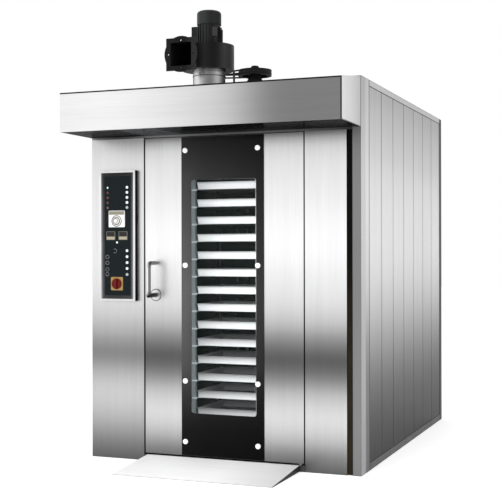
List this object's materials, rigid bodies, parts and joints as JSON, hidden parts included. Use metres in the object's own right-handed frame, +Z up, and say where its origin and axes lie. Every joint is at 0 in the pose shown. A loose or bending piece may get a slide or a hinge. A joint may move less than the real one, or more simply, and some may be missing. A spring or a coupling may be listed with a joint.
{
  "type": "rotating rack oven",
  "caption": "Insulated bakery oven with a glazed swing door, a top-driven turning rack of trays, a front extraction hood with a blower, a control column and an entry ramp.",
  "frame": {"origin": "on the floor under the rack's turning axis", "axes": "+Z up, +Y from the door towards the back, +X to the right seen from the front"},
  "size_m": [1.64, 2.585, 2.526],
  "materials": {
    "base_steel": "satin dark grey",
    "floor_steel": "brushed",
    "liner_steel": "satin, slightly heat-tinted",
    "mineral_wool": "matt fibre",
    "panel_steel": "brushed, vertical grain",
    "front_steel": "brushed, vertical grain",
    "pin_steel": "polished",
    "hood_dark_steel": "brushed",
    "ramp_steel": "fine brushed",
    "collar_steel": "spun",
    "black_paint": "satin black",
    "bearing_cast": "cast",
    "motor_paint": "satin",
    "belt_rubber": "matt",
    "heater_tube": "oxidised",
    "bezel_steel": "brushed",
    "plate_black": "gloss black",
    "display_plastic": "smoked",
    "lamp_red": "translucent",
    "timer_plastic": "satin",
    "switch_yellow": "satin",
    "wheel_steel": "satin",
    "shaft_steel": "turned",
    "pulley_cast": "black",
    "rack_steel": "satin",
    "tray_metal": "satin",
    "fork_steel": "zinc",
    "caster_tread": "matt",
    "door_glass": "gloss",
    "gasket_rubber": "matt",
    "cap_white": "gloss",
    "handle_chrome": "polished",
    "switch_red": "gloss",
    "button_white": "gloss"
  },
  "bodies": {
    "oven": {"base_frame": "base_steel", "chamber_floor": "floor_steel", "chamber_liner": "liner_steel", "air_duct_wall": "liner_steel", "insulation": "mineral_wool", "wall_panels": "panel_steel", "roof_panels": "panel_steel", "front_columns": "front_steel", "corner_posts": "front_steel", "front_header": "front_steel", "door_hinge_pins": "pin_steel", "hood_shell": "front_steel", "hood_underside": "hood_dark_steel", "entry_ramp": "ramp_steel", "duct_collar": "collar_steel", "blower_casing": "black_paint", "blower_motor": "black_paint", "shaft_bearings": "bearing_cast", "gearmotor": "motor_paint", "drive_belts": "belt_rubber", "heater_bank": "heater_tube", "circulation_motor": "motor_paint", "control_bezel": "bezel_steel", "control_plate": "plate_black", "displays": "display_plastic", "indicator_lamps": "lamp_red", "timer_module": "timer_plastic", "switch_plate": "switch_yellow"},
    "door": {"door_shell": "front_steel", "door_core": "mineral_wool", "door_liner": "liner_steel", "door_glass": "door_glass", "door_gasket": "gasket_rubber", "glass_caps": "cap_white"},
    "handle": {"door_handle": "handle_chrome"},
    "rack": {"drive_shaft": "shaft_steel", "drive_pulley": "pulley_cast", "rack_frame": "rack_steel", "rack_trays": "tray_metal"},
    "left_caster": {"left_caster_fork": "fork_steel"},
    "right_caster": {"right_caster_fork": "fork_steel"},
    "front_left_wheel": {"wheel_front_left": "caster_tread"},
    "front_right_wheel": {"wheel_front_right": "caster_tread"},
    "rear_left_wheel": {"wheel_rear_left": "caster_tread"},
    "rear_right_wheel": {"wheel_rear_right": "caster_tread"},
    "small_pulley": {"motor_pulley": "pulley_cast"},
    "blower_rotor": {"blower_wheel": "wheel_steel"},
    "circulation_rotor": {"circulation_wheel": "wheel_steel"},
    "timer": {"timer_knob": "timer_plastic"},
    "main_switch": {"switch_knob": "switch_red"},
    "upper_push_1": {"upper_button_1": "button_white"},
    "upper_push_2": {"upper_button_2": "button_white"},
    "upper_push_3": {"upper_button_3": "button_white"},
    "upper_push_4": {"upper_button_4": "button_white"},
    "upper_push_5": {"upper_button_5": "button_white"},
    "lower_push_1": {"lower_button_1": "button_white"},
    "lower_push_2": {"lower_button_2": "button_white"},
    "lower_push_3": {"lower_button_3": "button_white"},
    "lower_push_4": {"lower_button_4": "button_white"},
    "lower_push_5": {"lower_button_5": "button_white"}
  },
  "joints": [
    {"name": "door_swing", "type": "hinge", "parent": "oven", "child": "door", "pos_m": [0.471, -0.538, 0.95], "axis": [0, 0, 1], "range_deg": [0, 110]},
    {"name": "handle_turn", "type": "hinge", "parent": "door", "child": "handle", "pos_m": [-0.399, -0.6, 0.957], "axis": [0, 1, 0], "range_deg": [0, 90]},
    {"name": "rack_turn", "type": "hinge", "parent": "oven", "child": "rack", "pos_m": [0, 0, 1], "axis": [0, 0, 1], "continuous": true},
    {"name": "small_pulley_turn", "type": "hinge", "parent": "oven", "child": "small_pulley", "pos_m": [-0.27, 0, 2.29], "axis": [0, 0, 1], "continuous": true},
    {"name": "blower_spin", "type": "hinge", "parent": "oven", "child": "blower_rotor", "pos_m": [0, -0.7, 2.27], "axis": [0, 0, 1], "continuous": true},
    {"name": "circulation_spin", "type": "hinge", "parent": "oven", "child": "circulation_rotor", "pos_m": [0, 0.99, 1], "axis": [0, 1, 0], "continuous": true},
    {"name": "left_caster_swivel", "type": "hinge", "parent": "rack", "child": "left_caster", "pos_m": [-0.3245, -0.14, 0.15], "axis": [0, 0, 1], "continuous": true},
    {"name": "right_caster_swivel", "type": "hinge", "parent": "rack", "child": "right_caster", "pos_m": [0.3245, -0.14, 0.15], "axis": [0, 0, 1], "continuous": true},
    {"name": "front_left_wheel_roll", "type": "hinge", "parent": "left_caster", "child": "front_left_wheel", "pos_m": [-0.3245, -0.112, 0.093], "axis": [1, 0, 0], "continuous": true},
    {"name": "front_right_wheel_roll", "type": "hinge", "parent": "right_caster", "child": "front_right_wheel", "pos_m": [0.3245, -0.112, 0.093], "axis": [1, 0, 0], "continuous": true},
    {"name": "rear_left_wheel_roll", "type": "hinge", "parent": "rack", "child": "rear_left_wheel", "pos_m": [-0.3245, 0.14, 0.093], "axis": [1, 0, 0], "continuous": true},
    {"name": "rear_right_wheel_roll", "type": "hinge", "parent": "rack", "child": "rear_right_wheel", "pos_m": [0.3245, 0.14, 0.093], "axis": [1, 0, 0], "continuous": true},
    {"name": "timer_knob_turn", "type": "hinge", "parent": "oven", "child": "timer", "pos_m": [-0.642, -0.573, 1.385], "axis": [0, 1, 0], "range_deg": [0, 300]},
    {"name": "switch_knob_turn", "type": "hinge", "parent": "oven", "child": "main_switch", "pos_m": [-0.642, -0.573, 1.02], "axis": [0, 1, 0], "range_deg": [0, 90]},
    {"name": "upper_button_1_press", "type": "slide", "parent": "oven", "child": "upper_push_1", "axis": [0, 1, 0], "range_m": [0, 0.003], "stiffness_N_per_m": 400, "springref_m": -0.001},
    {"name": "upper_button_2_press", "type": "slide", "parent": "oven", "child": "upper_push_2", "axis": [0, 1, 0], "range_m": [0, 0.003], "stiffness_N_per_m": 400, "springref_m": -0.001},
    {"name": "upper_button_3_press", "type": "slide", "parent": "oven", "child": "upper_push_3", "axis": [0, 1, 0], "range_m": [0, 0.003], "stiffness_N_per_m": 400, "springref_m": -0.001},
    {"name": "upper_button_4_press", "type": "slide", "parent": "oven", "child": "upper_push_4", "axis": [0, 1, 0], "range_m": [0, 0.003], "stiffness_N_per_m": 400, "springref_m": -0.001},
    {"name": "upper_button_5_press", "type": "slide", "parent": "oven", "child": "upper_push_5", "axis": [0, 1, 0], "range_m": [0, 0.003], "stiffness_N_per_m": 400, "springref_m": -0.001},
    {"name": "lower_button_1_press", "type": "slide", "parent": "oven", "child": "lower_push_1", "axis": [0, 1, 0], "range_m": [0, 0.003], "stiffness_N_per_m": 400, "springref_m": -0.001},
    {"name": "lower_button_2_press", "type": "slide", "parent": "oven", "child": "lower_push_2", "axis": [0, 1, 0], "range_m": [0, 0.003], "stiffness_N_per_m": 400, "springref_m": -0.001},
    {"name": "lower_button_3_press", "type": "slide", "parent": "oven", "child": "lower_push_3", "axis": [0, 1, 0], "range_m": [0, 0.003], "stiffness_N_per_m": 400, "springref_m": -0.001},
    {"name": "lower_button_4_press", "type": "slide", "parent": "oven", "child": "lower_push_4", "axis": [0, 1, 0], "range_m": [0, 0.003], "stiffness_N_per_m": 400, "springref_m": -0.001},
    {"name": "lower_button_5_press", "type": "slide", "parent": "oven", "child": "lower_push_5", "axis": [0, 1, 0], "range_m": [0, 0.003], "stiffness_N_per_m": 400, "springref_m": -0.001}
  ],
  "couplings": [
    {"joint": "small_pulley_turn", "follows": "rack_turn", "ratio": 2.4286}
  ]
}
